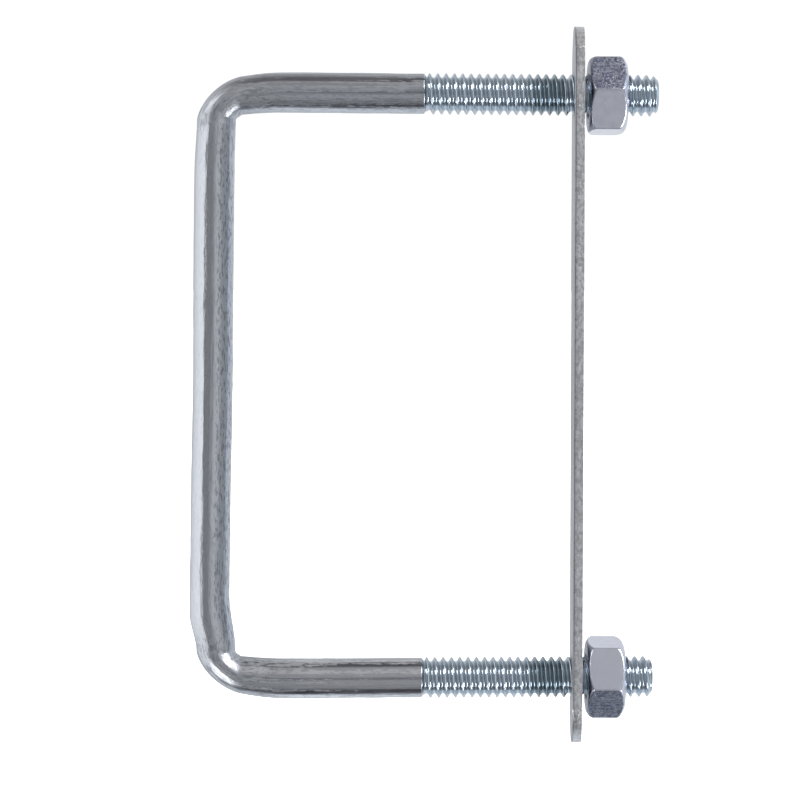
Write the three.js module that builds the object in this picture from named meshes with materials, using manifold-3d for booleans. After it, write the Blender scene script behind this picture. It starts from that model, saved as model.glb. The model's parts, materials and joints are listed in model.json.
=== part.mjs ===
// Square-bend U-bolt with its clamp plate and two hex nuts, for a 1/4-20 UNC thread.
//
// Units are millimetres. +X runs along the two legs, from the crossbar to the threaded ends.
// +Z runs along the crossbar, from the lower leg to the upper leg. Y is across the bent rod.
// The origin is the middle of the crossbar's inner side, midway between the legs.

import * as THREE from 'three';
import { mergeVertices } from 'three/addons/utils/BufferGeometryUtils.js';
import Module from 'manifold-3d';

const wasm = await Module();
wasm.setup();

// ---- Driving dimensions ----

// Bent rod
const insideWidth = 82.58; // between the legs, where the threads start
const rodRadius = 3.06;
const crossbarLean = 0.6; // the crossbar's upper end sits this much further along +X than its lower end
const shankTaper = 0.22; // chamfer where the plain shank meets the thread
const rodSides = 16;

// Thread, 1/4-20 UNC, right-handed
const pitch = 25.4 / 20;
const threadMajorRadius = 3.175;
const threadRootRadius = 2.5;
const crestFlat = pitch / 8;
const flankAngle = THREE.MathUtils.degToRad(30);
const threadStart = 29.2; // X of the first thread on both legs
const crestPhase = 0.68; // X, within one pitch, of a crest on the leg's +Z side
const endChamfer = 0.8;
const threadSides = 12;

// Legs and their bends. Angles are in degrees, measured around the inner corner.
const upperLeg = {
  side: 1,
  length: 64.7,
  nutTurn: 30, // the nearest flat faces this far below -Y
  spread: 0.28, // how much wider the legs stand at the bend than at the thread
  bend: { cornerRadius: 0.72, crossbarFill: 0.1, crossbarRun: 8, thinning: 0.14, lead: 5, trail: 16 },
};
const lowerLeg = {
  side: -1,
  length: 64.15,
  nutTurn: -19,
  spread: 0.45,
  bend: { cornerRadius: 0.7, crossbarFill: 1, crossbarRun: 8, thinning: 0.155, lead: 4, trail: 15 },
};
const legs = [upperLeg, lowerLeg];
const legFill = 0.27; // extra inward thickness of a leg beside its corner
const legRun = 6; // length over which that fill fades out
const bendBulge = 0.06; // how much wider the rod spreads across the bend
const runSteps = 4;
const arcSteps = 8;

// Clamp plate, loose on the legs
const plateLength = 109;
const plateWidth = 16;
const plateThickness = 1.52;
const plateCentreZ = 0.2;
const plateInnerX = 51.9; // inner face, at Y = 0
const plateCock = 2.9; // degrees that the loose plate is turned about Z
const upperEndRise = 4.2; // how far the rounded upper end stands beyond the straight sides
const lowerEndRise = 6.2;
const plateHoleRadius = 3.55;
const arcSegments = 16;

// Hex nuts
const nutAcrossFlats = 11.11; // 7/16 in
const nutThickness = 5.7; // 7/32 in nominal, near the top of its tolerance
const nutBearingX = 54.2;
// Each end of a nut: the flat ring inside its crown, and how deep the crown cuts the flats and the corners.
const bearingCrown = { faceRadius: 5.3, atFlats: 0.13, atCorners: 0.85 };
const outerCrown = { faceRadius: 4.95, atFlats: 0.33, atCorners: 1.15 };
const nutCountersink = 0.45;
const nutThreadClearance = 0.25; // radial play between a nut's thread and its leg
const nutRingSides = 24;

const legAxisZ = insideWidth / 2 + rodRadius;

// ---- Solids ----

function toSolid(geometry) {
  const bare = geometry.clone();
  bare.deleteAttribute('normal');
  bare.deleteAttribute('uv');
  const merged = mergeVertices(bare);
  const corners = merged.index.array;
  const kept = [];
  for (let i = 0; i < corners.length; i += 3) {
    const [a, b, c] = [corners[i], corners[i + 1], corners[i + 2]];
    if (a !== b && b !== c && c !== a) {
      kept.push(a, b, c);
    }
  }
  return new wasm.Manifold(new wasm.Mesh({
    numProp: 3,
    vertProperties: new Float32Array(merged.attributes.position.array),
    triVerts: new Uint32Array(kept),
  }));
}

function toGeometry(solid) {
  const mesh = solid.getMesh();
  const geometry = new THREE.BufferGeometry();
  geometry.setAttribute('position', new THREE.BufferAttribute(new Float32Array(mesh.vertProperties), 3));
  geometry.setIndex(new THREE.BufferAttribute(new Uint32Array(mesh.triVerts), 1));
  geometry.computeVertexNormals();
  return geometry;
}

// A closed shape revolved about the X axis, from points given as [x, radius].
function revolveAboutX(outline, sides) {
  const points = outline.map(([x, radius]) => new THREE.Vector2(radius, x));
  return new THREE.LatheGeometry(points, sides).rotateZ(-Math.PI / 2);
}

// Rings of points joined into a closed skin, with a flat cap at each end.
function skinRings(rings) {
  const sides = rings[0].length;
  const last = (rings.length - 1) * sides;
  const positions = rings.flat().flatMap((point) => point.toArray());
  const indices = [];
  for (let ring = 0; ring < rings.length - 1; ring += 1) {
    for (let side = 0; side < sides; side += 1) {
      const here = ring * sides + side;
      const beside = ring * sides + ((side + 1) % sides);
      indices.push(here, beside, beside + sides, here, beside + sides, here + sides);
    }
  }
  for (let side = 1; side < sides - 1; side += 1) {
    indices.push(0, side + 1, side);
    indices.push(last, last + side, last + side + 1);
  }
  const geometry = new THREE.BufferGeometry();
  geometry.setAttribute('position', new THREE.Float32BufferAttribute(positions, 3));
  geometry.setIndex(indices);
  return geometry;
}

// ---- Thread ----

// One turn of the thread's outline: [fraction of the pitch, radius], from crest to crest.
function threadOutline(radialOffset) {
  const crest = threadMajorRadius + radialOffset;
  const root = threadRootRadius + radialOffset;
  const flank = (threadMajorRadius - threadRootRadius) * Math.tan(flankAngle);
  const crestEdge = crestFlat / 2 / pitch;
  const rootEdge = crestEdge + flank / pitch;
  return [[-crestEdge, crest], [crestEdge, crest], [rootEdge, root], [1 - rootEdge, root]];
}

// A right-handed threaded rod about the X axis. It covers fromX to toX and runs past both.
function threadedRod(fromX, toX, phase, radialOffset) {
  const outline = threadOutline(radialOffset);
  const perTurn = outline.length;
  const crestAtY = phase - pitch / 4; // X of a crest at angle zero, on the +Y side
  const firstTurn = Math.floor((fromX - crestAtY) / pitch) - 2;
  const turns = Math.ceil((toX - fromX) / pitch) + 4;
  const rows = turns * perTurn;
  const startX = crestAtY + firstTurn * pitch;

  const positions = [];
  for (let row = 0; row <= rows; row += 1) {
    const [fraction, radius] = outline[row % perTurn];
    const rowX = startX + pitch * (Math.floor(row / perTurn) + fraction);
    for (let side = 0; side < threadSides; side += 1) {
      const angle = (2 * Math.PI * side) / threadSides;
      const x = rowX + (pitch * side) / threadSides;
      positions.push(x, radius * Math.cos(angle), radius * Math.sin(angle));
    }
  }
  // One step past the last side is the next turn's first side.
  const at = (row, side) => (side < threadSides ? row * threadSides + side : (row + perTurn) * threadSides);
  const lastRow = rows - perTurn;
  const indices = [];
  for (let row = 0; row < lastRow; row += 1) {
    for (let side = 0; side < threadSides; side += 1) {
      indices.push(at(row, side), at(row + 1, side + 1), at(row + 1, side));
      indices.push(at(row, side), at(row, side + 1), at(row + 1, side + 1));
    }
  }
  const startTip = positions.length / 3;
  positions.push(startX + pitch / 2, 0, 0);
  const endTip = startTip + 1;
  positions.push(startX + (turns - 1) * pitch + pitch / 2, 0, 0);
  for (let side = 0; side < threadSides; side += 1) {
    indices.push(startTip, at(0, side + 1), at(0, side));
    indices.push(endTip, at(lastRow, side), at(lastRow, side + 1));
  }
  for (let row = 0; row < perTurn; row += 1) {
    indices.push(startTip, at(row, 0), at(row + 1, 0));
    indices.push(endTip, at(lastRow + row + 1, 0), at(lastRow + row, 0));
  }
  const geometry = new THREE.BufferGeometry();
  geometry.setAttribute('position', new THREE.Float32BufferAttribute(positions, 3));
  geometry.setIndex(indices);
  return toSolid(geometry);
}

// The threaded part of a leg, with a plain spigot that is let into the shank.
function legThread(leg) {
  const spigot = threadRootRadius - 0.05;
  const clear = threadMajorRadius + 0.05;
  const envelope = toSolid(revolveAboutX([
    [threadStart - 1, 0],
    [threadStart - 1, spigot],
    [threadStart, spigot],
    [threadStart, clear],
    [leg.length - endChamfer, clear],
    [leg.length, clear - endChamfer],
    [leg.length, 0],
  ], threadSides * 2));
  const thread = threadedRod(threadStart, leg.length, crestPhase, 0).intersect(envelope);
  return thread.translate([0, 0, leg.side * legAxisZ]);
}

// ---- Bent rod ----

const smooth = (t) => t * t * (3 - 2 * t);

// X of the crossbar's inner side at a height.
const crossbarInnerX = (z) => (crossbarLean * z) / insideWidth;

// The rod's inner and outer edge points, as [x, z], from the crossbar round one corner to the thread.
function cornerStations({ side, spread, bend }) {
  const { cornerRadius, crossbarFill, crossbarRun, thinning, lead, trail } = bend;
  const rodWidth = 2 * rodRadius;
  const legInnerZ = insideWidth / 2 + spread - legFill;
  const centreZ = legInnerZ - cornerRadius;
  const cornerInnerX = crossbarInnerX(side * centreZ) + crossbarFill;
  const centreX = cornerInnerX + cornerRadius;
  const thin = (degrees) => Math.sin((Math.PI * (degrees + lead)) / (90 + lead + trail));
  const stations = [];

  for (let step = 0; step < runSteps; step += 1) {
    const along = step / runSteps;
    const z = centreZ - crossbarRun * (1 - along);
    const innerX = crossbarInnerX(side * z) + crossbarFill * smooth(along);
    const width = rodWidth * (1 - thinning * thin(0) * smooth(along));
    stations.push({ inner: [innerX, z], outer: [innerX - width, z], bulge: 0 });
  }
  for (let step = 0; step <= arcSteps; step += 1) {
    const degrees = (90 * step) / arcSteps;
    const angle = THREE.MathUtils.degToRad(degrees);
    const [dx, dz] = [-Math.cos(angle), Math.sin(angle)];
    const reach = cornerRadius + rodWidth * (1 - thinning * thin(degrees));
    stations.push({
      inner: [centreX + dx * cornerRadius, centreZ + dz * cornerRadius],
      outer: [centreX + dx * reach, centreZ + dz * reach],
      bulge: bendBulge * thin(degrees),
    });
  }
  const thinnedBy = rodWidth * thinning * thin(90);
  for (let step = 1; step <= runSteps; step += 1) {
    const faded = smooth(step / runSteps);
    const x = centreX + (legRun * step) / runSteps;
    const toe = (spread * (threadStart - x)) / (threadStart - centreX);
    const thinnedStill = (thinnedBy + legFill) * (1 - step / runSteps) ** 2;
    stations.push({
      inner: [x, insideWidth / 2 + toe - legFill * (1 - faded)],
      outer: [x, insideWidth / 2 + toe + rodWidth - thinnedStill],
      bulge: bendBulge * thin(90) * (1 - faded),
    });
  }
  for (const [x, inset] of [[threadStart - shankTaper, 0], [threadStart, shankTaper]]) {
    stations.push({
      inner: [x, insideWidth / 2 + inset],
      outer: [x, insideWidth / 2 + rodWidth - inset],
      bulge: -inset / rodRadius,
    });
  }
  const onSide = ([x, z]) => [x, side * z];
  return stations.map(({ inner, outer, bulge }) => ({ inner: onSide(inner), outer: onSide(outer), bulge }));
}

// An oval ring of points between an inner and an outer edge point.
function rodRing({ inner, outer, bulge }) {
  const centre = new THREE.Vector3((inner[0] + outer[0]) / 2, 0, (inner[1] + outer[1]) / 2);
  const half = new THREE.Vector3((outer[0] - inner[0]) / 2, 0, (outer[1] - inner[1]) / 2);
  const across = new THREE.Vector3(0, rodRadius * (1 + bulge), 0);
  return Array.from({ length: rodSides }, (_, side) => {
    const angle = (2 * Math.PI * side) / rodSides;
    return centre.clone().addScaledVector(half, Math.cos(angle)).addScaledVector(across, Math.sin(angle));
  });
}

function uBoltGeometry() {
  const stations = [...cornerStations(upperLeg).reverse(), ...cornerStations(lowerLeg)];
  const bentRod = toSolid(skinRings(stations.map(rodRing)));
  return toGeometry(legs.reduce((solid, leg) => solid.add(legThread(leg)), bentRod));
}

// ---- Clamp plate ----

// A flat bar with rounded ends and one hole for each leg, lying in the YZ plane, inner face at X = 0.
function plateGeometry() {
  const halfWidth = plateWidth / 2;
  const halfLength = plateLength / 2;
  const endRadius = (rise) => (halfWidth ** 2 + rise ** 2) / (2 * rise);
  const upperRadius = endRadius(upperEndRise);
  const lowerRadius = endRadius(lowerEndRise);
  const upperSpread = Math.asin(halfWidth / upperRadius);
  const lowerSpread = Math.asin(halfWidth / lowerRadius);
  const outline = new THREE.Shape();
  outline.absarc(0, halfLength - upperRadius, upperRadius, Math.PI / 2 - upperSpread,
    Math.PI / 2 + upperSpread, false);
  outline.absarc(0, lowerRadius - halfLength, lowerRadius, -Math.PI / 2 - lowerSpread,
    -Math.PI / 2 + lowerSpread, false);
  outline.closePath();
  for (const { side } of legs) {
    const hole = new THREE.Path();
    hole.absarc(0, side * legAxisZ - plateCentreZ, plateHoleRadius, 0, 2 * Math.PI, true);
    outline.holes.push(hole);
  }
  const plate = new THREE.ExtrudeGeometry(outline, {
    depth: plateThickness,
    bevelEnabled: false,
    curveSegments: arcSegments,
  });
  const [x, y, z] = [new THREE.Vector3(1, 0, 0), new THREE.Vector3(0, 1, 0), new THREE.Vector3(0, 0, 1)];
  return plate.applyMatrix4(new THREE.Matrix4().makeBasis(y, z, x));
}

// ---- Hex nuts ----

// A hex nut about the X axis, bearing face at X = 0, threaded to match the leg it runs on.
function nutGeometry(turn) {
  const cornerRadius = nutAcrossFlats / Math.sqrt(3);
  const prism = new THREE.CylinderGeometry(cornerRadius, cornerRadius, nutThickness, 6)
    .rotateZ(-Math.PI / 2)
    .translate(nutThickness / 2, 0, 0)
    .rotateX(THREE.MathUtils.degToRad(turn));
  const crown = revolveAboutX([
    [0, 0],
    [0, bearingCrown.faceRadius],
    [bearingCrown.atFlats, nutAcrossFlats / 2],
    [bearingCrown.atCorners, cornerRadius],
    [nutThickness - outerCrown.atCorners, cornerRadius],
    [nutThickness - outerCrown.atFlats, nutAcrossFlats / 2],
    [nutThickness, outerCrown.faceRadius],
    [nutThickness, 0],
  ], nutRingSides);
  const mouth = threadMajorRadius + nutThreadClearance + 0.1;
  const funnel = toSolid(revolveAboutX([
    [-1, 0],
    [-1, mouth + 1],
    [nutCountersink, mouth - nutCountersink],
    [nutCountersink, 0],
  ], threadSides * 2));
  const farFunnel = funnel.mirror([1, 0, 0]).translate([nutThickness, 0, 0]);
  const tap = threadedRod(0, nutThickness, crestPhase - nutBearingX, nutThreadClearance);
  const body = toSolid(prism).intersect(toSolid(crown));
  return toGeometry(body.subtract(tap).subtract(funnel).subtract(farFunnel));
}

// ---- Assembly ----

function addMesh(parent, name, geometry, material) {
  const mesh = new THREE.Mesh(geometry, new THREE.MeshStandardMaterial(material));
  mesh.name = name;
  parent.add(mesh);
  return mesh;
}

const group = new THREE.Group();

addMesh(group, 'u_bolt', uBoltGeometry(), { color: 0x9b9da6, roughness: 0.34, metalness: 1 });

const plate = addMesh(group, 'clamp_plate', plateGeometry(), { color: 0x94918f, roughness: 0.48, metalness: 1 });
plate.position.set(plateInnerX, 0, plateCentreZ);
plate.rotation.z = -THREE.MathUtils.degToRad(plateCock);

for (const [name, leg] of [['upper_nut', upperLeg], ['lower_nut', lowerLeg]]) {
  const nut = addMesh(group, name, nutGeometry(leg.nutTurn), { color: 0x8f95a3, roughness: 0.3, metalness: 1 });
  nut.position.set(nutBearingX, 0, leg.side * legAxisZ);
}

export default group;
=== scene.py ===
"""Looks of a zinc-plated square-bend U-bolt with its clamp plate and two hex nuts.

Everything is in metres, in the CAD frame: +X runs along the legs, +Z along the crossbar, Y across
the rod. Sizes below are written in millimetres times MM.
"""

import json
import math
from collections import namedtuple

import bmesh
import bpy
import numpy as np
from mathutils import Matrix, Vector


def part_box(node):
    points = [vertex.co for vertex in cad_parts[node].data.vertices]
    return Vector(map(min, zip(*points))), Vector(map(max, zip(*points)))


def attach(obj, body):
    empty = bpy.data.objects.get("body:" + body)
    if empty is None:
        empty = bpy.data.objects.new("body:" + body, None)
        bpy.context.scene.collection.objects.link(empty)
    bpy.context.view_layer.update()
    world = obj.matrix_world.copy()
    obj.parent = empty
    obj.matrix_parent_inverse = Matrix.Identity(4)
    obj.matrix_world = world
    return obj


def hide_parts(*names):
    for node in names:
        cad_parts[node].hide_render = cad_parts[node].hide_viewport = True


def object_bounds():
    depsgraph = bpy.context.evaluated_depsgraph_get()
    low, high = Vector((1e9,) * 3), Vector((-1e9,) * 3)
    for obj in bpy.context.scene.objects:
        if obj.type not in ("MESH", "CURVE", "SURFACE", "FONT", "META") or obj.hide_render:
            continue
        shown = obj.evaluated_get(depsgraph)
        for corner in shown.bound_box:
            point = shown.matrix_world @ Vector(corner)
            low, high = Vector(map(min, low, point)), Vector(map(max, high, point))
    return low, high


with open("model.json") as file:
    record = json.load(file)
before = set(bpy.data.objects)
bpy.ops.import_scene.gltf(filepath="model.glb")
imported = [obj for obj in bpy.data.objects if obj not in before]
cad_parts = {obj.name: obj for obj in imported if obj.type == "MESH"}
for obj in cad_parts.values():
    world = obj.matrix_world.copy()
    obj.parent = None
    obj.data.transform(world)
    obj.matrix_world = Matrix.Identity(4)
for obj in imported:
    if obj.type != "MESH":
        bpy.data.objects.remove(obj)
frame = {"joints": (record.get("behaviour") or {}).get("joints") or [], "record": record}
CAD_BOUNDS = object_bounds()

MM = 0.001
RECORD = frame["record"]
MOUNTS = {mount["name"]: mount for mount in RECORD["mounts"]}
JOINTS = {joint["name"]: joint for joint in frame["joints"]}

# Rod
ROD_RADIUS = 3.06 * MM
ROD_SIDES = 128
INSIDE_WIDTH = 82.58 * MM  # between the legs, at the nuts
CROSSBAR_LEAN = 0.6 * MM  # how much further along +X the crossbar's upper end sits
CROSSBAR_BOW = 0.13 * MM  # how far its middle bows toward +X
BOW_REACH = 11 * MM
TOE_END = 57 * MM  # where each leg passes through its nut's axis
UPPER_TOE = 0.0050  # how far the leg leans outward, per length back toward its bend
LOWER_TOE = 0.0085
LOWER_LEG_SHORTER = 0.55 * MM
LEG_FILL = 0.27 * MM  # extra inward thickness of a leg beside its corner
LEG_RUN = 6 * MM
LEG_OUTER_RUN = 7 * MM
LOWER_LEG_BOW = 0.04 * MM  # how far the lower leg's middle bows outward
BEND_BULGE = 0.06
RUN_STEP = 0.4 * MM  # spacing of the rings on plain rod
ARC_RINGS = 56

# A bend's inner radius and how far that corner is pinched in, the extra metal on the crossbar's
# inner side, how far from the bend the crossbar's inner and outer sides change, the share by which
# the rod thins, and by how many degrees the thinning starts before the bend and ends after it.
Bend = namedtuple("Bend", "radius pinch fill inner_run outer_run thinning lead trail")
UPPER_BEND = Bend(0.82 * MM, 0.26 * MM, 0.10 * MM, 8 * MM, 8 * MM, 0.165, 7, 16)
LOWER_BEND = Bend(0.76 * MM, 0.22 * MM, 1.0 * MM, 9 * MM, 6 * MM, 0.17, 4, 16)

# Thread, 1/4-20 UNC, right-handed
PITCH = 25.4 / 20 * MM
THREAD_MAJOR = 3.175 * MM
THREAD_ROOT = 2.48 * MM
THREAD_START = 29.2 * MM
CREST_PHASE = 0.68 * MM  # X, within one pitch, of a crest on a leg's +Z side
CREST_FLAT = PITCH / 8
FLANK_TAN = math.tan(math.radians(30))
RINGS_PER_PITCH = 22
END_CHAMFER = 0.8 * MM

# Nuts
NUT_ACROSS_FLATS = 11.11 * MM
NUT_BEARING_RADIUS = 5.3 * MM
NUT_OUTER_RADIUS = 4.95 * MM
NUT_BEARING_CROWN = 1.15 * MM  # how deep the rounded crown reaches into the corners
NUT_OUTER_CROWN = 1.55 * MM
NUT_EDGE = 0.26 * MM  # rounding where the crown meets the flats
NUT_SIDES = 288
NUT_CLEARANCE = 0.34 * MM  # radial play between nut and leg threads
NUT_MOUTH = 0.05 * MM  # how much wider the bore is at its mouths than at its thread
UPPER_NUT_SAG = 0.09 * MM  # how far the loose upper nut hangs in that play

# Plate
PLATE_THICKNESS = 1.52 * MM
PLATE_WIDTH = 16 * MM
UPPER_END_RISE = 4.2 * MM
LOWER_END_RISE = 6.2 * MM
HOLE_RADIUS = 3.55 * MM
OUTLINE_STEP = 0.3 * MM

RNG = np.random.default_rng(7)


# ---- Mesh helpers ----

def smooth(t):
    """An even ease from 0 to 1 as t goes from 0 to 1."""
    t = np.clip(t, 0, 1)
    return t * t * (3 - 2 * t)


def soft_min(a, b, width):
    """The smaller of a and b, rounded over where they cross."""
    h = np.clip(0.5 + 0.5 * (b - a) / width, 0, 1)
    return b * (1 - h) + a * h - width * h * (1 - h)


def soft_max(a, b, width):
    """The larger of a and b, rounded over where they cross."""
    return -soft_min(-a, -b, width)


def wave_noise(shape_inputs, scales, count, seed):
    """A smooth random field from -1 to 1: the sum of a few waves in the given coordinates."""
    rng = np.random.default_rng(seed)
    total = np.zeros(np.broadcast(*shape_inputs).shape)
    for _ in range(count):
        angle = rng.uniform(0, 2 * math.pi)
        for values, scale in zip(shape_inputs, scales):
            angle = angle + values * rng.normal() * 2 * math.pi / scale
        total += np.sin(angle)
    return total / math.sqrt(count / 2) / 2


def make_mesh(name, points, faces):
    """A smooth mesh object from points and faces, turned so that its faces look out."""
    mesh = bpy.data.meshes.new(name)
    mesh.from_pydata(points.tolist(), [], faces)
    mesh.calc_loop_triangles()
    triangles = np.empty(len(mesh.loop_triangles) * 3, np.int32)
    mesh.loop_triangles.foreach_get("vertices", triangles)
    a, b, c = (points[triangles[k::3]] for k in range(3))
    volume = np.einsum("ij,ij->i", a, np.cross(b, c)).sum()
    if volume < 0:
        mesh.flip_normals()
    mesh.polygons.foreach_set("use_smooth", [True] * len(mesh.polygons))
    mesh.update()
    piece = bpy.data.objects.new(name, mesh)
    bpy.context.scene.collection.objects.link(piece)
    return piece


def ring_faces(rings, sides, loop=False):
    """Quads between each ring and the next, and from the last to the first if they make a loop."""
    faces = []
    for ring in range(rings if loop else rings - 1):
        here, there = ring * sides, (ring + 1) % rings * sides
        for side in range(sides):
            beside = (side + 1) % sides
            faces.append((here + side, here + beside, there + beside, there + side))
    return faces


def add_vector_attribute(piece, name, values):
    """Give each point of a piece a vector that its material can read."""
    attribute = piece.data.attributes.new(name, "FLOAT_VECTOR", "POINT")
    attribute.data.foreach_set("vector", values.astype(np.float32).ravel())


def add_number_attribute(piece, name, values):
    """Give each point of a piece a number that its material can read."""
    attribute = piece.data.attributes.new(name, "FLOAT", "POINT")
    attribute.data.foreach_set("value", values.astype(np.float32).ravel())


# ---- Thread shape ----

def thread_height(x, angle, rounding):
    """How far up the thread a point is: 1 on the crest, 0 at the root, along and round the X axis."""
    crest_x = CREST_PHASE + PITCH * (angle - math.pi / 2) / (2 * math.pi)
    offset = (x - crest_x) / PITCH
    flank = (THREAD_MAJOR - THREAD_ROOT) * FLANK_TAN
    height = 0
    shifts = np.linspace(-1, 1, 7) * rounding
    for shift in shifts:
        distance = np.abs((offset + shift / PITCH + 0.5) % 1 - 0.5) * PITCH
        height = height + np.clip(1 - (distance - CREST_FLAT / 2) / flank, 0, 1)
    return height / len(shifts)


# ---- Bent rod ----

def toe_out(side, x):
    """How far a leg's axis lies outside its nut's axis."""
    if side > 0:
        return UPPER_TOE * (TOE_END - x)
    bow = LOWER_LEG_BOW * smooth(x / (12 * MM)) * (1 - smooth((x - 16 * MM) / (12 * MM)))
    return LOWER_TOE * (TOE_END - x) + bow


def corner_stations(side, bend):
    """Inner and outer edge points of the rod, from the middle of the crossbar to the thread.

    Each station is (inner x, inner z, outer x, outer z, bulge, wrinkle), z counted outward.
    """
    radius, pinch, fill, inner_run, outer_run, thinning, lead, trail = bend
    width = 2 * ROD_RADIUS
    leg_inner = INSIDE_WIDTH / 2 + toe_out(side, 0) - LEG_FILL
    centre_z = leg_inner - radius

    def inner_x(z):
        bow = CROSSBAR_BOW * math.exp(-(z / BOW_REACH) ** 2)
        return CROSSBAR_LEAN * side * z / INSIDE_WIDTH + bow

    def thin(degrees):
        return math.sin(math.pi * (degrees + lead) / (90 + lead + trail))

    stations = []
    heights = np.arange(RUN_STEP / 2, centre_z - RUN_STEP / 2, RUN_STEP)
    for z in heights:
        near_inner = float(smooth(1 - (centre_z - z) / inner_run))
        near_outer = float(smooth(1 - (centre_z - z) / outer_run))
        outer_x = inner_x(z) - width + (fill + width * thinning * thin(0)) * near_outer
        stations.append((inner_x(z) + fill * near_inner, z, outer_x, z, 0.0, near_inner ** 3))
    centre_x = inner_x(centre_z) + fill + radius
    for degrees in np.linspace(0, 90, ARC_RINGS):
        dx, dz = -math.cos(math.radians(degrees)), math.sin(math.radians(degrees))
        reach = radius + width * (1 - thinning * thin(degrees))
        near = radius - pinch * math.sin(math.pi * degrees / 100) ** 0.7
        stations.append((
            centre_x + dx * near, centre_z + dz * near,
            centre_x + dx * reach, centre_z + dz * reach,
            BEND_BULGE * thin(degrees), 1.0,
        ))
    thinned_by = width * thinning * thin(90)
    for x in np.arange(centre_x + RUN_STEP, THREAD_START - RUN_STEP / 2, RUN_STEP):
        left = 1 - float(smooth((x - centre_x) / LEG_RUN))
        outer_left = max(1 - (x - centre_x) / LEG_OUTER_RUN, 0) ** 1.75
        pinched = pinch * 0.4 * max(1 - (x - centre_x) / (1.5 * MM), 0) ** 2
        inner = INSIDE_WIDTH / 2 + toe_out(side, x)
        stations.append((
            x, inner - LEG_FILL * left - pinched,
            x, inner + width - (LEG_FILL + thinned_by) * outer_left,
            BEND_BULGE * thin(90) * left, left ** 3,
        ))
    return np.array(stations)


def bent_rings(side, stations):
    """Rings of points on the plain rod, with draw waves and the wrinkles inside the bend."""
    inner = np.stack([stations[:, 0], np.zeros(len(stations)), side * stations[:, 1]], 1)
    outer = np.stack([stations[:, 2], np.zeros(len(stations)), side * stations[:, 3]], 1)
    centre, half = (inner + outer) / 2, (outer - inner) / 2
    run = np.concatenate([[0], np.cumsum(np.linalg.norm(np.diff(centre, axis=0), axis=1))])
    inner_run = np.concatenate([[0], np.cumsum(np.linalg.norm(np.diff(inner, axis=0), axis=1))])
    angle = np.linspace(0, 2 * math.pi, ROD_SIDES, endpoint=False)
    across = ROD_RADIUS * (1 + stations[:, 4])
    run_grid, angle_grid = run[:, None], angle[None, :]
    around = (np.cos(angle_grid) * ROD_RADIUS, np.sin(angle_grid) * ROD_RADIUS)
    waves = 0.022 * MM * wave_noise((run_grid, *around), (9 * MM, 4 * MM, 4 * MM), 18, 11 + side)
    drawn = 0.012 * MM * wave_noise((run_grid, *around), (13 * MM, 1.2 * MM, 1.2 * MM), 30, 21 + side)
    waves = waves + drawn
    facing_in = np.clip(-np.cos(angle_grid), 0, 1) ** 2
    wrinkles = wave_noise(
        (inner_run[:, None], np.sin(angle_grid)), (1.1 * MM, 1.2), 10, 31 + side)
    push = waves + 0.07 * MM * wrinkles * stations[:, 5][:, None] * facing_in
    scale = 1 + push / ROD_RADIUS
    points = (
        centre[:, None, :]
        + half[:, None, :] * (np.cos(angle_grid) * scale)[:, :, None]
        + np.array([0, 1, 0]) * (across[:, None] * np.sin(angle_grid) * scale)[:, :, None]
    )
    return points, run


def leg_rings(side, length, axis_z, along):
    """Rings of points from the shank's end to the middle of the leg's end face."""
    step = PITCH / RINGS_PER_PITCH
    x = np.arange(THREAD_START - 4 * step, length, step)
    x = np.append(x, length)[:, None]
    angle = np.linspace(0, 2 * math.pi, ROD_SIDES, endpoint=False)[None, :]
    # Angle zero is the outer side of the leg; the thread counts its angle from +Y about +X.
    y_part, z_part = np.sin(angle), side * np.cos(angle)
    turn = np.arctan2(z_part, y_part)
    ramp = smooth((x - THREAD_START) / (0.5 * PITCH))
    height = thread_height(x, turn, 0.12 * MM)
    nicks = 0.02 * MM * wave_noise((x, y_part * 3, z_part * 3), (1.7 * MM, 2, 2), 12, 51 + side)
    thread = THREAD_ROOT + (THREAD_MAJOR - THREAD_ROOT) * height * ramp + nicks * height
    shoulder = ROD_RADIUS - np.clip((x - THREAD_START + 0.1 * MM) * 1.3, 0, None)
    radius = soft_max(thread, shoulder, 0.06 * MM)
    ragged = 0.06 * MM * wave_noise((x, y_part, z_part), (2 * MM, 1.5, 1.5), 8, 71 + side)
    end_cone = THREAD_MAJOR - END_CHAMFER + (length - x) + ragged * smooth((x - length + 2 * MM) / (2 * MM))
    radius = np.minimum(soft_min(radius, end_cone, 0.12 * MM), THREAD_MAJOR)
    x = x * np.ones_like(radius)
    face = radius[-1:] * np.array([0.97, 0.8, 0.55, 0.3, 0.08])[:, None]
    face_x = length - 0.01 * MM + 0.006 * MM * wave_noise(
        (face * y_part, face * z_part), (1.5 * MM, 1.5 * MM), 10, 91 + side)
    face_x = np.minimum(face_x, length)
    radius, x = np.vstack([radius, face]), np.vstack([x, face_x])
    axis = side * (axis_z + toe_out(side, x))
    points = np.stack([x, radius * y_part, axis + radius * z_part], 2)
    distance = along + (x[:, :1] - x[0, 0]).ravel()
    return points, distance


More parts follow.
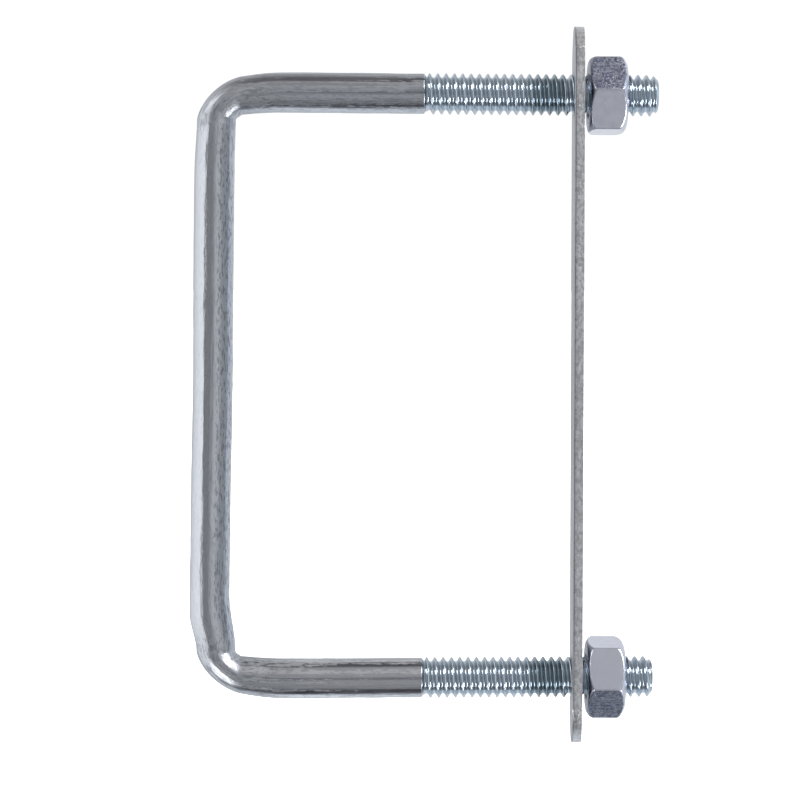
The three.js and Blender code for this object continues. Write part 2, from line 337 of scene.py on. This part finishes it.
def build_u_bolt():
    """The bent rod as one closed skin, from the tip of the upper leg to the tip of the lower leg."""
    low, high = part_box("u_bolt")
    axis_z = JOINTS["upper_nut_turn"]["pos_m"][2]
    legs = ((1, high.x, UPPER_BEND), (-1, high.x - LOWER_LEG_SHORTER, LOWER_BEND))
    halves = []
    for side, length, bend in legs:
        bent, run = bent_rings(side, corner_stations(side, bend))
        leg, leg_run = leg_rings(side, length, axis_z, run[-1] + RUN_STEP)
        halves.append((np.concatenate([bent, leg]), np.concatenate([run, leg_run])))
    (upper, upper_run), (lower, lower_run) = halves
    rings = np.concatenate([upper[::-1], lower])
    run = np.concatenate([upper_run[::-1] + RUN_STEP / 2, -lower_run - RUN_STEP / 2])
    points = rings.reshape(-1, 3)
    faces = ring_faces(len(rings), ROD_SIDES)
    tips = [rings[0].mean(0), rings[-1].mean(0)]
    first, last = len(points), (len(rings) - 1) * ROD_SIDES
    for side in range(ROD_SIDES):
        beside = (side + 1) % ROD_SIDES
        faces.append((first, beside, side))
        faces.append((first + 1, last + side, last + beside))
    points = np.concatenate([points, np.array(tips)])
    points[:, 0] = np.clip(points[:, 0], low.x, high.x)
    piece = make_mesh("u_bolt_zinc", points, faces)
    angle = np.linspace(0, 2 * math.pi, ROD_SIDES, endpoint=False)
    straight = np.stack([
        np.repeat(run, ROD_SIDES),
        np.tile(np.cos(angle), len(rings)) * ROD_RADIUS,
        np.tile(np.sin(angle), len(rings)) * ROD_RADIUS,
    ], 1)
    straight = np.concatenate([straight, [[run[0], 0, 0], [run[-1], 0, 0]]])
    add_vector_attribute(piece, "rod_space", straight)
    threaded = smooth((points[:, 0] - THREAD_START) / (0.2 * MM))
    add_number_attribute(piece, "threaded", threaded)
    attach(piece, "rod")
    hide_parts("u_bolt")
    return piece


# ---- Hex nuts ----

def crown_radius(share, face_radius, corner_radius):
    """The rounded crown's radius, from the nut's face (share 0) to where it clears the corners (1)."""
    left = np.clip(1 - share, 0, 1) ** 2
    return face_radius + (corner_radius + 0.15 * MM - face_radius) * (1 - left)


def build_nut(name, node, joint, body, flat_angle, rough_flat, sag):
    """One nut on its leg.

    flat_angle is the direction of one flat, in degrees about +X from +Y, and rough_flat counts on
    from it to the mottled flat. sag is how far the nut hangs below its joint's axis.
    """
    low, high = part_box(node)
    bearing_x, outer_x = low.x, high.x
    thickness = outer_x - bearing_x
    axis_z = JOINTS[joint]["pos_m"][2] - sag
    angle = np.linspace(0, 2 * math.pi, NUT_SIDES, endpoint=False)[None, :]
    flats = math.radians(flat_angle) + np.arange(6) * math.pi / 3
    lean = np.clip(np.cos(angle - flats[:, None]), 1e-6, None)
    sharpness = 110  # how crisp the edges between the flats are
    hexagon = NUT_ACROSS_FLATS / 2 / (lean ** sharpness).sum(0, keepdims=True) ** (1 / sharpness)

    steps = np.linspace(0, 1, 40)[:, None] ** 1.3
    middle = np.linspace(NUT_BEARING_CROWN, thickness - NUT_OUTER_CROWN, 16)[1:-1, None]
    depth = np.concatenate([steps * NUT_BEARING_CROWN, middle, thickness - steps[::-1] * NUT_OUTER_CROWN])
    corner_radius = NUT_ACROSS_FLATS / math.sqrt(3)
    cone = np.minimum(
        crown_radius(depth / NUT_BEARING_CROWN, NUT_BEARING_RADIUS, corner_radius),
        crown_radius((thickness - depth) / NUT_OUTER_CROWN, NUT_OUTER_RADIUS, corner_radius))
    dents = 0.008 * MM * wave_noise(
        (depth, np.cos(angle) * 6, np.sin(angle) * 6), (4 * MM, 5, 5), 16, int(abs(flat_angle)))
    outside = soft_min(hexagon + dents, cone, NUT_EDGE)
    outside[[0, -1]] -= 0.03 * MM

    mouth = THREAD_MAJOR + NUT_CLEARANCE + NUT_MOUTH
    shares = np.array([0.03, 0.25, 0.5, 0.75, 0.97])[:, None]
    far_face = outside[-1:] * (1 - shares) + mouth * shares
    near_face = outside[:1] * shares + mouth * (1 - shares)

    step = PITCH / RINGS_PER_PITCH
    inside_depth = np.arange(0, thickness, step)[:, None]
    inside_depth = np.concatenate([inside_depth, [[thickness]]])[::-1]
    height = thread_height(bearing_x + inside_depth, angle, 0.05 * MM)
    bore = THREAD_ROOT + NUT_CLEARANCE + (THREAD_MAJOR - THREAD_ROOT) * height
    funnel = mouth - np.minimum(inside_depth, thickness - inside_depth)
    bore = np.minimum(soft_max(bore, funnel, 0.06 * MM), mouth)

    radius = np.concatenate([outside, far_face, bore, near_face])
    x = np.concatenate([
        np.broadcast_to(bearing_x + depth, outside.shape),
        np.full_like(far_face, outer_x),
        np.broadcast_to(bearing_x + inside_depth, bore.shape),
        np.full_like(near_face, bearing_x),
    ])
    points = np.stack([x, radius * np.cos(angle), axis_z + radius * np.sin(angle)], 2)
    piece = make_mesh(name, points.reshape(-1, 3), ring_faces(len(points), NUT_SIDES, loop=True))
    rough_angle = flats[rough_flat]
    on_flat = smooth((np.cos(angle - rough_angle) - math.cos(math.radians(31))) * 30)
    on_outside = np.zeros_like(radius)
    on_outside[:len(depth)] = smooth((cone - hexagon) / (0.1 * MM)) * on_flat
    add_number_attribute(piece, "mottled", on_outside)
    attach(piece, body)
    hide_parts(node)
    return piece


# ---- Clamp plate ----

def plate_outline(half_length):
    """The plate's outline as points (across, along), with the direction that looks out of each."""
    half_width = PLATE_WIDTH / 2
    points, normals = [], []
    for end, rise in ((1, UPPER_END_RISE), (-1, LOWER_END_RISE)):
        radius = (half_width ** 2 + rise ** 2) / (2 * rise)
        spread = math.asin(half_width / radius)
        steps = int(2 * spread * radius / OUTLINE_STEP)
        for angle in np.linspace(-spread, spread, steps):
            direction = (-math.sin(angle) * end, math.cos(angle) * end)
            points.append((radius * direction[0], end * (half_length - radius) + radius * direction[1]))
            normals.append(direction)
        start = points[-1][1]
        other_rise = LOWER_END_RISE if end == 1 else UPPER_END_RISE
        stop = -end * (half_length - other_rise)
        count = int(abs(stop - start) / OUTLINE_STEP)
        for z in np.linspace(start, stop, count)[1:-1]:
            points.append((-half_width * end, z))
            normals.append((-end, 0))
    return np.array(points), np.array(normals)


def hole_outline(centre_z):
    """A round hole as points (across, along), with the direction from the metal into the hole."""
    angle = np.linspace(0, 2 * math.pi, 96, endpoint=False)
    normals = np.stack([np.cos(angle), np.sin(angle)], 1)
    return np.array([0, centre_z]) + HOLE_RADIUS * normals, -normals


def edge_profile():
    """The cut edge across the thickness: (share of the thickness, how far it is drawn in, roughness)."""
    roll = 0.22 * MM
    rolled = [
        (roll * (1 - math.cos(a)) / PLATE_THICKNESS, roll * 0.8 * (1 - math.sin(a)), 0.0)
        for a in np.radians(np.linspace(0, 90, 7))
    ]
    sheared = [(share, 0.01 * MM, 0.4) for share in (0.3, 0.38, 0.46)]
    torn = [(share, 0.045 * MM, 1.0) for share in (0.54, 0.62, 0.7, 0.78, 0.86, 0.93)]
    burr = [(0.97, 0.02 * MM, 0.6), (1.0, 0.05 * MM, 0.0)]
    return rolled + sheared + torn + burr


def build_plate():
    """The sheared plate: its cut edge and holes as rows of points, closed with two flat faces."""
    low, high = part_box("clamp_plate")
    centre_z = (low.z + high.z) / 2
    half_length = (high.z - low.z) / 2
    inner = Vector(MOUNTS["plate_inner_face"]["pos_m"])
    inward = Vector(MOUNTS["plate_inner_face"]["axis"]).normalized()
    outward = -inward
    across = Vector((0, 0, 1)).cross(outward)
    leg_z = JOINTS["upper_nut_turn"]["pos_m"][2]
    loops = [plate_outline(half_length), hole_outline(leg_z - centre_z), hole_outline(-leg_z - centre_z)]
    profile = edge_profile()
    rows = len(profile)
    points, faces, sharp_loops, grain = [], [], [], []
    for number, (outline, normals) in enumerate(loops):
        start = len(points)
        count = len(outline)
        run = np.arange(count) * OUTLINE_STEP
        rough = RNG.normal(size=(rows, count)) * 0.012 * MM
        long_rough = wave_noise(
            (np.arange(rows)[:, None] * 0.3, run[None, :]), (3.0, 2.5 * MM), 18, 131 + number)
        for row, (share, inset, roughness) in enumerate(profile):
            shift = inset + roughness * (rough[row] + 0.012 * MM * long_rough[row])
            edge = outline - normals * np.clip(shift, 0, None)[:, None]
            for a, z in edge:
                place = inner + across * a + outward * (share * PLATE_THICKNESS)
                points.append((place.x, place.y, centre_z + z))
                grain.append(roughness)
        faces += [tuple(start + index for index in face) for face in ring_faces(rows, count)]
        sharp_loops.append((start, start + (rows - 1) * count, count))
    piece = make_plate_mesh("clamp_plate_zinc", np.array(points), faces, sharp_loops)
    add_number_attribute(piece, "cut_edge", 0.25 + 0.75 * np.array(grain))
    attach(piece, "plate")
    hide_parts("clamp_plate")
    return piece


def make_plate_mesh(name, points, faces, loops):
    """The cut edges, closed with a flat face on each side that leaves the holes open."""
    mesh = bpy.data.meshes.new(name)
    mesh.from_pydata(points.tolist(), [], faces)
    work = bmesh.new()
    work.from_mesh(mesh)
    work.verts.ensure_lookup_table()
    work.edges.ensure_lookup_table()
    for which in (0, 1):
        rim = []
        for loop in loops:
            start, count = loop[which], loop[2]
            for index in range(count):
                pair = (work.verts[start + index], work.verts[start + (index + 1) % count])
                edge = work.edges.get(pair)
                edge.smooth = False
                rim.append(edge)
        made = bmesh.ops.triangle_fill(work, use_beauty=True, use_dissolve=False, edges=rim)
        for item in made["geom"]:
            if isinstance(item, bmesh.types.BMFace):
                item.smooth = False
                item.material_index = 0
    bmesh.ops.recalc_face_normals(work, faces=work.faces)
    work.to_mesh(mesh)
    work.free()
    smooth_flags = [len(polygon.vertices) == 4 for polygon in mesh.polygons]
    mesh.polygons.foreach_set("use_smooth", smooth_flags)
    mesh.update()
    piece = bpy.data.objects.new(name, mesh)
    bpy.context.scene.collection.objects.link(piece)
    return piece


# ---- Materials ----

class NodeTree:
    """Short calls for building nodes."""

    def __init__(self, tree):
        self.tree = tree
        self.tree.nodes.clear()

    def add(self, kind, inputs=None, **settings):
        node = self.tree.nodes.new(kind)
        for key, value in settings.items():
            setattr(node, key, value)
        for key, value in (inputs or {}).items():
            self.put(node.inputs[key], value)
        return node

    def put(self, socket, value):
        if isinstance(value, bpy.types.NodeSocket):
            self.tree.links.new(value, socket)
        else:
            socket.default_value = value

    def math(self, operation, a, b=0.0):
        return self.add("ShaderNodeMath", {0: a, 1: b}, operation=operation).outputs[0]

    def mix_colour(self, factor, a, b, blend_type="MIX"):
        node = self.add("ShaderNodeMix", data_type="RGBA", blend_type=blend_type)
        self.put(node.inputs[0], factor)
        for socket, value in ((node.inputs[6], a), (node.inputs[7], b)):
            self.put(socket, value if isinstance(value, bpy.types.NodeSocket) else (*value, 1.0))
        return node.outputs[2]


class MaterialNodes(NodeTree):
    """The same for one material, with its shader."""

    def __init__(self, name):
        self.material = bpy.data.materials.new(name)
        self.material.use_nodes = True
        super().__init__(self.material.node_tree)
        output = self.add("ShaderNodeOutputMaterial")
        self.shader = self.add("ShaderNodeBsdfPrincipled")
        self.put(output.inputs["Surface"], self.shader.outputs[0])

    def attribute(self, name, output):
        return self.add("ShaderNodeAttribute", attribute_name=name).outputs[output]

    def stretched(self, vector, scale):
        """The vector in millimetres, times a scale on each axis."""
        factor = tuple(part / MM for part in scale)
        return self.add("ShaderNodeVectorMath", {0: vector, 1: factor}, operation="MULTIPLY").outputs[0]

    def noise(self, vector, scale, detail=3.0, roughness=0.55):
        node = self.add("ShaderNodeTexNoise", {
            "Vector": self.stretched(vector, scale), "Scale": 1.0, "Detail": detail,
            "Roughness": roughness,
        })
        return node.outputs["Fac"]

    def range(self, value, low, high, to_low=0.0, to_high=1.0):
        return self.add("ShaderNodeMapRange", {
            "Value": value, "From Min": low, "From Max": high, "To Min": to_low, "To Max": to_high,
        }, interpolation_type="SMOOTHSTEP").outputs[0]

    def band(self, value, start, full, fading, end):
        """1 from full to fading, and 0 before start and after end."""
        rise = self.range(value, start, full)
        return self.math("MULTIPLY", rise, self.range(value, fading, end, 1.0, 0.0))

    def bump(self, height, distance):
        return self.add("ShaderNodeBump", {"Height": height, "Distance": distance}).outputs[0]


# Base colours on the rod
ZINC = (0.60, 0.62, 0.665)
# painted light: a lighter zinc for the lower leg, standing in for the light it catches
ZINC_PAINTED_LIT = (0.80, 0.81, 0.85)
ZINC_CLOUDED = (0.62, 0.61, 0.63)
ZINC_DEEP = (0.17, 0.175, 0.205)
ZINC_THREAD = (0.57, 0.635, 0.70)
# painted shade: a dark teal for the thread beside the plate, standing in for the plate's shade
PAINTED_PLATE_SHADE = (0.17, 0.24, 0.28)


def rod_material():
    """Zinc on drawn rod: long draw lines and dark streaks along it, pits, and a bluer thread.

    rod_space is a place on the rod as if it were straight: along it from the crossbar's middle,
    outward from the bent rod, and across it.
    """
    n = MaterialNodes("zinc_on_drawn_rod")
    space = n.attribute("rod_space", "Vector")
    threaded = n.attribute("threaded", "Fac")
    run, outward = n.add("ShaderNodeSeparateXYZ", {"Vector": space}).outputs[:2]
    from_middle = n.math("ABSOLUTE", run)
    inward = n.math("MULTIPLY", outward, -1.0)
    off_centre = n.math("ABSOLUTE", n.math("ADD", outward, 0.23 * MM))
    worked = n.range(from_middle, 38 * MM, 48 * MM)
    unworked = n.math("SUBTRACT", 1.0, worked)
    bent = n.band(from_middle, 37 * MM, 40 * MM, 49 * MM, 55 * MM)
    plain = n.math("SUBTRACT", 1.0, threaded)
    # The die left three rows of marks along each leg; the crossbar is scuffed on its inner side.
    outer_row = n.band(outward, 1.2 * MM, 1.5 * MM, 1.9 * MM, 2.5 * MM)
    inner_row = n.band(inward, 1.7 * MM, 2.1 * MM, 2.4 * MM, 2.7 * MM)
    centre_row = n.range(off_centre, 0.05 * MM, 0.4 * MM, 0.7, 0.0)
    rows = n.math("MAXIMUM", n.math("MAXIMUM", outer_row, inner_row), n.math("MAXIMUM", centre_row, 0.36))
    rows = n.math("MULTIPLY", rows, worked)
    scuffed = n.math("MULTIPLY", n.range(outward, -1.1 * MM, -0.5 * MM, 1.0, 0.15), unworked)
    lines = n.noise(space, (0.022, 1.0, 1.0), 5.0, 0.6)
    breaks = n.noise(space, (0.22, 0.7, 0.7), 4.0, 0.7)
    ragged = n.noise(space, (0.9, 3.4, 3.4), 3.0, 0.6)
    fine = n.noise(space, (1.2, 4.0, 4.0), 4.0, 0.65)
    cloud = n.noise(space, (0.12, 0.25, 0.25), 3.0)
    uneven = n.math("ADD", n.math("MULTIPLY", ragged, 0.30), n.math("MULTIPLY", breaks, 0.30))
    streaks = n.math("ADD", lines, uneven)
    streak_mask = n.math("MULTIPLY", n.range(streaks, 0.77, 0.83), rows)
    pitted = n.math("MAXIMUM", n.math("MULTIPLY", rows, 0.75), n.math("MULTIPLY", scuffed, 0.6))
    pit_mask = n.math("MULTIPLY", n.range(ragged, 0.50, 0.60), pitted)
    specks = n.math("MULTIPLY", n.range(ragged, 0.50, 0.58), n.math("MULTIPLY", bent, 0.6))
    dark = n.math("MAXIMUM", n.math("MAXIMUM", streak_mask, pit_mask), specks)
    dark = n.math("MULTIPLY", dark, plain)
    marked = n.math("MULTIPLY", plain, n.math("MAXIMUM", worked, 0.3))
    # The lower leg is painted lighter than the rest, except along its outer side: painted light, where the
    # lower leg catches more light.
    below = n.range(n.math("MULTIPLY", run, -1.0), 46 * MM, 58 * MM)
    below = n.math("MULTIPLY", below, n.range(outward, 2.6 * MM, 3.0 * MM, 1.0, 0.0))
    colour = n.mix_colour(dark, n.mix_colour(below, ZINC, ZINC_PAINTED_LIT), ZINC_DEEP)
    colour = n.mix_colour(n.range(cloud, 0.35, 0.7, 0.0, 0.25), colour, ZINC_CLOUDED)
    # The thread is painted darker just inside the plate: painted shade from the plate.
    plate_shade_band = n.band(from_middle, 88.5 * MM, 92 * MM, 94.5 * MM, 96.5 * MM)
    thread_colour = n.mix_colour(n.math("MULTIPLY", plate_shade_band, 0.6), ZINC_THREAD, PAINTED_PLATE_SHADE)
    colour = n.mix_colour(threaded, colour, thread_colour)
    n.put(n.shader.inputs["Base Color"], colour)
    n.shader.inputs["Metallic"].default_value = 1.0
    rough = n.range(fine, 0.3, 0.7, 0.06, 0.13)
    rough = n.math("ADD", rough, n.math("MULTIPLY", bent, 0.22))
    n.put(n.shader.inputs["Roughness"], n.math("ADD", rough, n.math("MULTIPLY", marked, 0.03)))
    height = n.math("SUBTRACT", n.math("MULTIPLY", lines, 1.5), n.math("MULTIPLY", dark, 0.10))
    height = n.math("ADD", height, n.math("MULTIPLY", ragged, 0.40))
    height = n.math("MULTIPLY", height, marked)
    height = n.math("ADD", height, n.math("MULTIPLY", fine, n.math("MULTIPLY", plain, 0.16)))
    height = n.math("ADD", height, n.math("MULTIPLY", fine, 0.06))
    n.put(n.shader.inputs["Normal"], n.bump(height, 0.00011))
    return n.material


def nut_material():
    """Zinc on a cold-formed nut: nearly clean flats, one of them mottled, with a blue tint."""
    n = MaterialNodes("zinc_on_nut")
    space = n.add("ShaderNodeTexCoord").outputs["Object"]
    mottled = n.attribute("mottled", "Fac")
    grain = n.noise(space, (2.3, 4.2, 4.2), 4.0, 0.6)
    soft = n.noise(space, (0.8, 0.8, 0.8), 3.0, 0.5)
    fine = n.noise(space, (7.0, 7.0, 7.0), 2.0, 0.5)
    dark = n.math("MULTIPLY", n.range(grain, 0.38, 0.60, 0.45, 1.0), mottled)
    clean = n.mix_colour(n.range(soft, 0.35, 0.7, 0.0, 0.3), (0.74, 0.75, 0.84), (0.66, 0.67, 0.77))
    colour = n.mix_colour(dark, clean, (0.145, 0.16, 0.245))
    n.put(n.shader.inputs["Base Color"], colour)
    n.shader.inputs["Metallic"].default_value = 1.0
    rough = n.range(soft, 0.3, 0.7, 0.16, 0.24)
    n.put(n.shader.inputs["Roughness"], n.math("ADD", rough, n.math("MULTIPLY", mottled, 0.08)))
    rough_part = n.math("MULTIPLY", grain, n.math("ADD", n.math("MULTIPLY", mottled, 0.65), 0.10))
    height = n.math("ADD", rough_part, n.math("MULTIPLY", fine, 0.04))
    height = n.math("ADD", height, n.math("MULTIPLY", soft, 0.30))
    n.put(n.shader.inputs["Normal"], n.bump(height, 0.00012))
    return n.material


def plate_material():
    """Zinc on flat bar: rolled faces, and cut edges that are grainy where the steel tore."""
    n = MaterialNodes("zinc_on_sheared_plate")
    space = n.add("ShaderNodeTexCoord").outputs["Object"]
    cut = n.attribute("cut_edge", "Fac")
    grain = n.noise(space, (2.2, 2.2, 1.6), 5.0, 0.65)
    rolled = n.noise(space, (2.0, 2.0, 0.12), 4.0, 0.6)
    cloud = n.noise(space, (0.2, 0.2, 0.2), 3.0)
    torn = n.mix_colour(n.range(grain, 0.40, 0.60), (0.57, 0.565, 0.575), (0.84, 0.835, 0.865))
    # The rolled faces are painted dark: painted shade, standing in for the shade on the plate's flat faces.
    face = n.mix_colour(n.range(rolled, 0.35, 0.65), (0.33, 0.34, 0.36), (0.40, 0.41, 0.43))
    colour = n.mix_colour(n.range(cut, 0.26, 0.40), face, torn)
    colour = n.mix_colour(n.range(cloud, 0.3, 0.7, 0.0, 0.2), colour, (0.58, 0.60, 0.65))
    n.put(n.shader.inputs["Base Color"], colour)
    n.shader.inputs["Metallic"].default_value = 1.0
    rough = n.math("ADD", n.range(grain, 0.3, 0.7, 0.22, 0.34), n.math("MULTIPLY", cut, 0.10))
    n.put(n.shader.inputs["Roughness"], rough)
    height = n.math("MULTIPLY", grain, n.math("ADD", n.math("MULTIPLY", cut, 0.8), 0.2))
    height = n.math("ADD", n.math("MULTIPLY", rolled, 0.3), height)
    n.put(n.shader.inputs["Normal"], n.bump(height, 0.00010))
    return n.material


# ---- Studio ----

def floor_material():
    """Plain pale paper."""
    n = MaterialNodes("pale_floor")
    space = n.add("ShaderNodeTexCoord").outputs["Object"]
    paper = n.noise(space, (0.02, 0.02, 0.02), 4.0)
    colour = n.mix_colour(paper, (0.93, 0.93, 0.93), (0.96, 0.96, 0.96))
    n.put(n.shader.inputs["Base Color"], colour)
    n.shader.inputs["Roughness"].default_value = 0.9
    return n.material


def build_floor():
    """A wide, shallow dish, so that no edge of it shows."""
    radii = np.array([0.0, 0.3, 0.6, 1.0, 1.6, 2.4, 3.2]) + 1e-6
    rise = 0.35 * np.clip((radii - 1.0) / 2.2, 0, 1) ** 2
    sides = 96
    angle = np.linspace(0, 2 * math.pi, sides, endpoint=False)
    floor_z = CAD_BOUNDS[0].z - 0.12
    points = np.stack([
        np.outer(radii, np.cos(angle)), np.outer(radii, np.sin(angle)),
        np.repeat((floor_z + rise)[:, None], sides, 1),
    ], 2)
    mesh = bpy.data.meshes.new("floor")
    mesh.from_pydata(points.reshape(-1, 3).tolist(), [], ring_faces(len(radii), sides))
    mesh.polygons.foreach_set("use_smooth", [True] * len(mesh.polygons))
    floor = bpy.data.objects.new("floor", mesh)
    bpy.context.scene.collection.objects.link(floor)
    floor.data.materials.append(floor_material())
    floor.visible_glossy = False


# Light coming from each bearing round Z: 0 is toward the camera, -90 left, 90 right, 180 behind.
ROUND_PANELS = (
    (-180, 0.56, 0.00), (-143, 0.66, 0.02), (-116, 0.98, 0.03), (-81, 1.16, 0.02), (-49, 1.25, 0.01),
    (-45, 0.17, 0.02), (-37, 0.20, 0.02), (-29, 0.36, 0.03), (-17, 0.24, 0.04), (-6, 0.31, 0.04),
    (6, 0.45, 0.04), (17, 0.62, 0.02), (29, 0.64, 0.02), (41, 0.53, 0.03), (53, 0.41, 0.04),
    (67, 0.36, 0.06), (81, 0.36, 0.10), (89, 1.05, 0.09), (116, 0.64, 0.09), (143, 0.76, 0.05),
    (180, 0.78, 0.00),
)

# Light coming from each climb, up and over: 0 is toward the camera, 90 straight up, -90 down.
OVER_PANELS = (
    (-180, 0.90, 0.03), (-150, 0.78, 0.05), (-125, 0.88, 0.06), (-106, 0.90, 0.06), (-97, 0.34, 0.05),
    (-80, 0.20, 0.03), (-64, 0.24, 0.03), (-47, 0.37, 0.03), (-35, 0.37, 0.03), (-20, 0.50, 0.03),
    (-9, 0.35, 0.03), (2, 0.28, 0.03), (11, 0.40, 0.02), (23, 0.49, 0.02), (35, 0.46, 0.02),
    (47, 0.46, 0.00), (60, 0.46, -0.01), (74, 0.36, -0.02), (89, 0.40, 0.00), (107, 0.43, 0.01),
    (125, 0.58, 0.01), (150, 0.76, 0.04), (180, 0.90, 0.03),
)

# Small bright lamps: bearing, climb above the horizon, radius (all degrees), and brightness.
LAMPS = (
    (50, 33, 9, 10.0),
    (50, 46, 9, 9.0),
    (-50, -37, 9, 9.0),
    (-50, -50, 9, 8.0),
    (72, 35, 9, 6.0),
    (72, -41, 11, 7.0),
    (-72, 35, 8, 3.0),
)
BRIGHTEST = 1.3  # what white stands for in the two colour ramps

# Light cards: the rim cards reach only the nuts, and the fill card only the upper nut
CARD_DISTANCE = 0.5
RIM_CARD_SIZE = 0.17
RIM_CARD_WATTS = 0.26
FILL_CARD_SIZE = 0.25
FILL_CARD_WATTS = 0.022


def direction_to(bearing, climb):
    """The unit vector toward a bearing and a climb, both in degrees as in the panels above."""
    flat = math.cos(math.radians(climb))
    return (
        flat * math.sin(math.radians(bearing)),
        -flat * math.cos(math.radians(bearing)),
        math.sin(math.radians(climb)),
    )


class WorldNodes(NodeTree):
    """The same short calls for the world's light."""

    def degrees(self, a, b):
        return self.math("MULTIPLY", self.math("ARCTAN2", a, b), 180 / math.pi)

    def ramp(self, angle, panels):
        """A colour that changes smoothly from one panel to the next."""
        share = self.math("ADD", self.math("MULTIPLY", angle, 1 / 360), 0.5)
        node = self.add("ShaderNodeValToRGB", {"Fac": share})
        stops = node.color_ramp.elements
        while len(stops) < len(panels):
            stops.new(0.5)
        for stop, (degrees, grey, blue) in zip(stops, panels):
            stop.position = degrees / 360 + 0.5
            level = grey / BRIGHTEST
            stop.color = (level * (1 - blue), level, level * (1 + blue), 1.0)
        return node.outputs[0]

    def lamp(self, direction, bearing, climb, radius, brightness):
        """How much light one lamp sends from this direction."""
        place = direction_to(bearing, climb)
        facing = self.add("ShaderNodeVectorMath", {0: direction, 1: place}, operation="DOT_PRODUCT")
        return self.add("ShaderNodeMapRange", {
            "Value": facing.outputs["Value"],
            "From Min": math.cos(math.radians(radius)),
            "From Max": math.cos(math.radians(radius * 0.7)),
            "To Max": brightness / BRIGHTEST,
        }, interpolation_type="SMOOTHSTEP").outputs[0]


def build_world():
    """A light tent of soft panels, with a few small lamps, behind a plain white background."""
    world = bpy.data.worlds.new("studio")
    bpy.context.scene.world = world
    world.use_nodes = True
    n = WorldNodes(world.node_tree)
    direction = n.add("ShaderNodeTexCoord").outputs["Generated"]
    x, y, z = n.add("ShaderNodeSeparateXYZ", {"Vector": direction}).outputs
    toward = n.math("MULTIPLY", y, -1.0)
    round_light = n.ramp(n.degrees(x, toward), ROUND_PANELS)
    over_light = n.ramp(n.degrees(z, toward), OVER_PANELS)
    z_square, x_square = n.math("MULTIPLY", z, z), n.math("MULTIPLY", x, x)
    upright = n.math("DIVIDE", z_square, n.math("ADD", n.math("ADD", z_square, x_square), 1e-6))
    colour = n.mix_colour(upright, round_light, over_light)
    lamps = 0.0
    for lamp in LAMPS:
        lamps = n.math("ADD", n.lamp(direction, *lamp), lamps)
    lamp_colour = n.add("ShaderNodeCombineXYZ", {0: lamps, 1: lamps, 2: lamps}).outputs[0]
    colour = n.mix_colour(1.0, colour, lamp_colour, "ADD")
    studio = n.add("ShaderNodeBackground", {"Color": colour, "Strength": BRIGHTEST})
    plain = n.add("ShaderNodeBackground", {"Color": (1.0, 1.0, 1.0, 1.0), "Strength": 1.05})
    camera_ray = n.add("ShaderNodeLightPath").outputs["Is Camera Ray"]
    both = n.add("ShaderNodeMixShader", {0: camera_ray, 1: studio.outputs[0], 2: plain.outputs[0]})
    n.add("ShaderNodeOutputWorld", {"Surface": both.outputs[0]})


def build_card(name, target, bearing, climb, size, watts, receivers):
    """A round light card that reaches only the receivers."""
    toward = Vector(direction_to(bearing, climb))
    light = bpy.data.lights.new(name, "AREA")
    light.shape = "DISK"
    light.size = size
    light.energy = watts
    card = bpy.data.objects.new(name, light)
    bpy.context.scene.collection.objects.link(card)
    card.location = target + toward * CARD_DISTANCE
    card.rotation_euler = (-toward).to_track_quat("-Z", "Y").to_euler()
    card.visible_camera = False
    card.light_linking.receiver_collection = receivers


def build_nut_cards(upper, lower):
    """Rim cards draw a thin bright line round the nuts' flats. A fill card lights the upper nut."""
    both = bpy.data.collections.new("card_receivers")
    both.objects.link(upper)
    both.objects.link(lower)
    only_upper = bpy.data.collections.new("fill_receivers")
    only_upper.objects.link(upper)
    between_nuts = Vector((57 * MM, 0, 0))
    upper_nut = between_nuts + Vector((0, 0, 44 * MM))
    for bearing in (-50, 43):
        for climb in (-47, 47):
            name = f"rim_card_{bearing}_{climb}"
            build_card(name, between_nuts, bearing, climb, RIM_CARD_SIZE, RIM_CARD_WATTS, both)
    build_card("fill_card", upper_nut, 10, -58, FILL_CARD_SIZE, FILL_CARD_WATTS, only_upper)


def build_lights():
    """One soft sun that whitens the floor. The zinc doesn't mirror it."""
    light = bpy.data.lights.new("floor_sun", "SUN")
    light.energy = 5
    light.angle = math.radians(60)
    sun = bpy.data.objects.new("floor_sun", light)
    bpy.context.scene.collection.objects.link(sun)
    sun.visible_glossy = False


def build_camera():
    """A camera square to the bent rod, at the distance that gives the right perspective."""
    distance = 0.330
    across = 122.1 * MM  # width of the view at the object
    sensor = 36.0
    roll = math.radians(-0.25)
    aim = Vector((25.64 * MM, 0, -2.26 * MM))  # what the view is centred on
    data = bpy.data.cameras.new("camera")
    data.sensor_width = sensor
    data.lens = sensor * distance / across
    data.clip_start = 0.01
    camera = bpy.data.objects.new("camera", data)
    bpy.context.scene.collection.objects.link(camera)
    camera.location = (aim.x, -distance, aim.z)
    camera.rotation_euler = (math.pi / 2, roll, 0)
    bpy.context.scene.camera = camera


def main():
    """Build each piece with its material, then the studio around it."""
    build_camera()
    u_bolt = build_u_bolt()
    u_bolt.data.materials.append(rod_material())
    nut_zinc = nut_material()
    upper = build_nut("upper_nut_zinc", "upper_nut", "upper_nut_turn", "nut_upper", 209, 5, UPPER_NUT_SAG)
    lower = build_nut("lower_nut_zinc", "lower_nut", "lower_nut_turn", "nut_lower", 161, 1, 0)
    for nut in (upper, lower):
        nut.data.materials.append(nut_zinc)
    plate = build_plate()
    plate.data.materials.append(plate_material())
    build_floor()
    build_world()
    build_lights()
    build_nut_cards(upper, lower)
    bpy.context.scene.view_settings.view_transform = "Standard"
    bpy.context.scene.view_settings.look = "None"


main()
